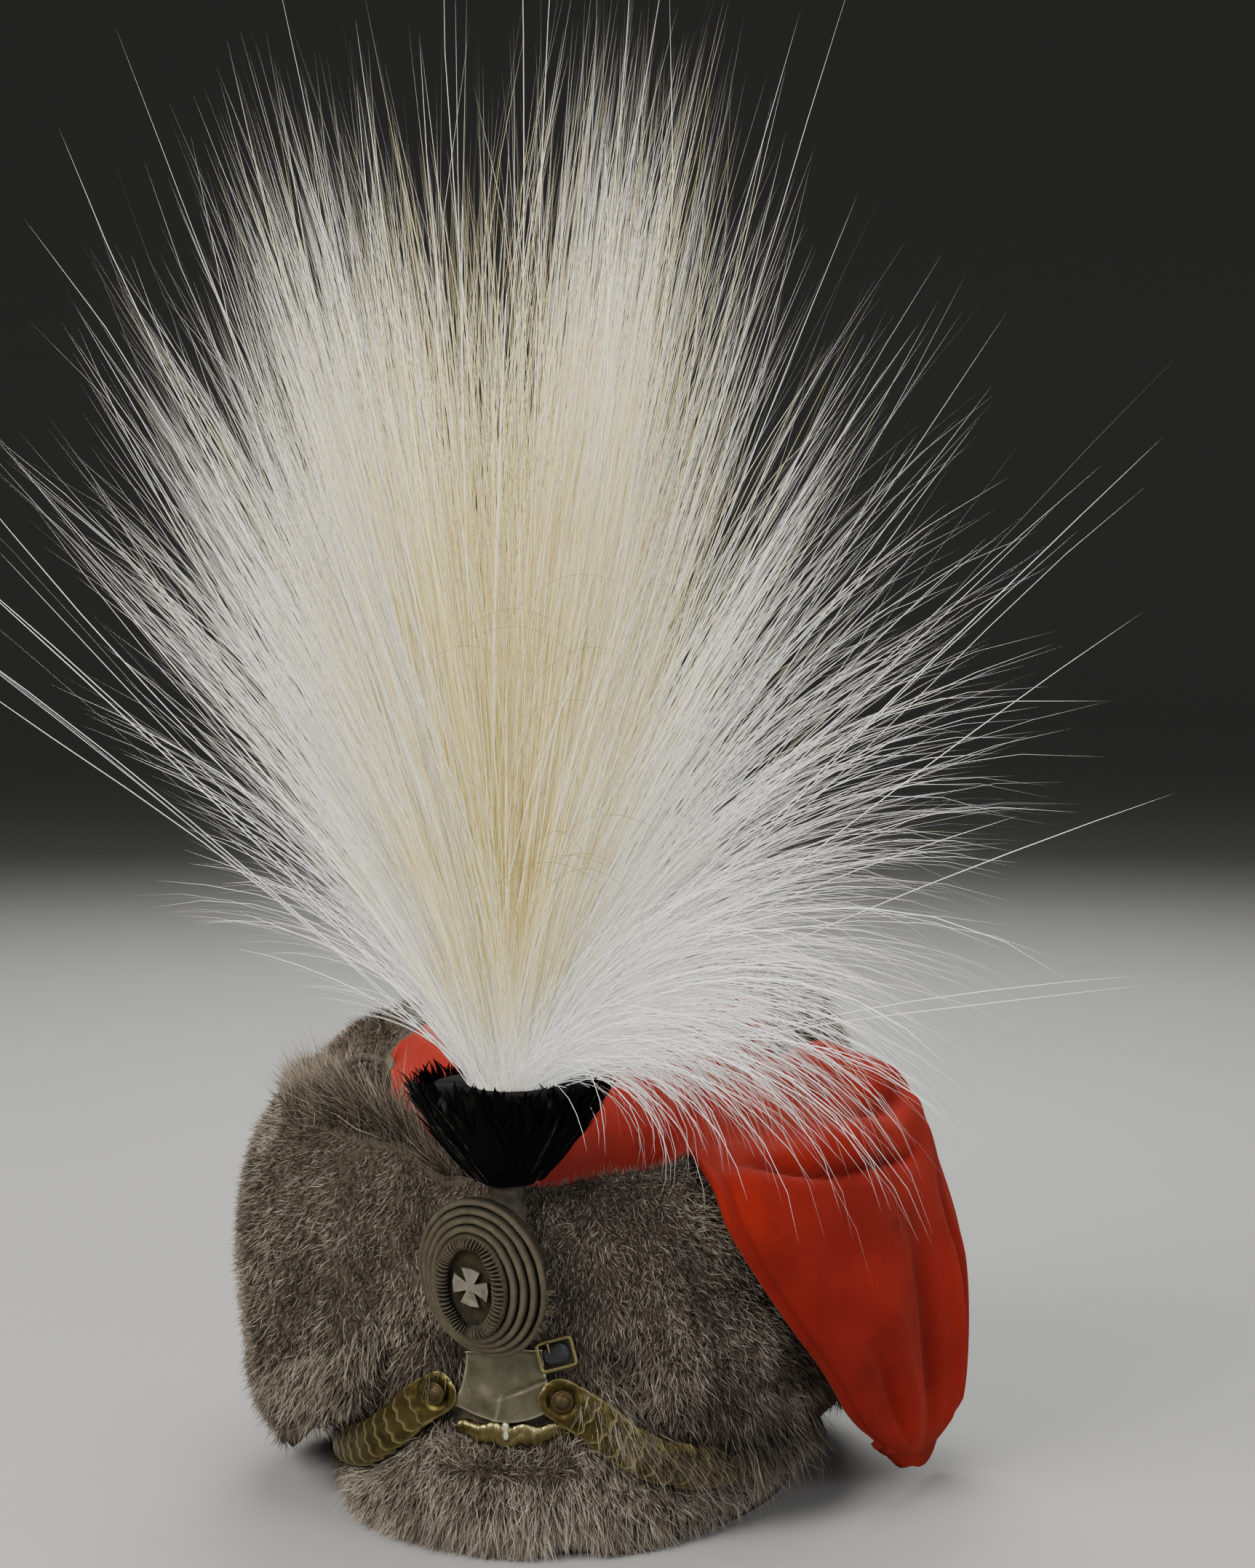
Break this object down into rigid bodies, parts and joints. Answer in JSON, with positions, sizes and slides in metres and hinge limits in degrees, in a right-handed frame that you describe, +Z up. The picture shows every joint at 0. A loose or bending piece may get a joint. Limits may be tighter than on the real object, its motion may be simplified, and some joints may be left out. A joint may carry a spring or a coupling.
{
  "type": "plumed fur hat",
  "caption": "Fur busby with an open head hollow, a hanging red cloth bag, a tall white plume in a black feather cup, a corded oval cockade and a brass-scaled chin strap.",
  "frame": {"origin": "centre of the head opening, in the plane of the rim that the hat stands on", "axes": "+Z up through the hat to the plume's tip, -Y out of the front with the cockade, +X to the side where the bag hangs"},
  "size_m": [0.4292, 0.4237, 0.5636],
  "materials": {
    "fur": "deep matte fur",
    "red_cloth": "dull wool cloth",
    "plume_white": "soft feather and hair",
    "black_feather": "glossy black feather",
    "stem_cloth": "dull olive brown wrap",
    "tarnished_gimp": "tarnished metal thread",
    "dark_field": "dark velvet",
    "silver": "worn silver",
    "worn_plate": "worn and dull",
    "brass": "dark aged brass",
    "black_leather": "old black leather",
    "rim_cord": "dull cord"
  },
  "bodies": {
    "root": {"bag": "red_cloth", "bar_pin": "brass", "buckle_frame": "brass", "buckle_tongue": "brass", "chin_bar": "brass", "chin_lug_left": "brass", "chin_lug_right": "brass", "chin_scale_left_01": "brass", "chin_scale_left_02": "brass", "chin_scale_left_03": "brass", "chin_scale_left_04": "brass", "chin_scale_left_05": "brass", "chin_scale_left_06": "brass", "chin_scale_left_07": "brass", "chin_scale_left_08": "brass", "chin_scale_left_09": "brass", "chin_scale_right_01": "brass", "chin_scale_right_02": "brass", "chin_scale_right_03": "brass", "chin_scale_right_04": "brass", "chin_scale_right_05": "brass", "chin_scale_right_06": "brass", "chin_scale_right_07": "brass", "chin_scale_right_08": "brass", "chin_scale_right_09": "brass", "chin_scale_right_10": "brass", "chin_scale_right_11": "brass", "chin_strap_left": "black_leather", "chin_strap_right": "black_leather", "cockade_cords": "tarnished_gimp", "cockade_cross": "silver", "cockade_field": "dark_field", "cockade_rope": "tarnished_gimp", "feather_cup": "black_feather", "fur_body": "fur", "lug_stud_left": "brass", "lug_stud_right": "brass", "plume": "plume_white", "plume_stem": "stem_cloth", "rim_loop": "rim_cord", "scroll_plate": "worn_plate", "strap_end": "black_leather"}
  },
  "joints": []
}
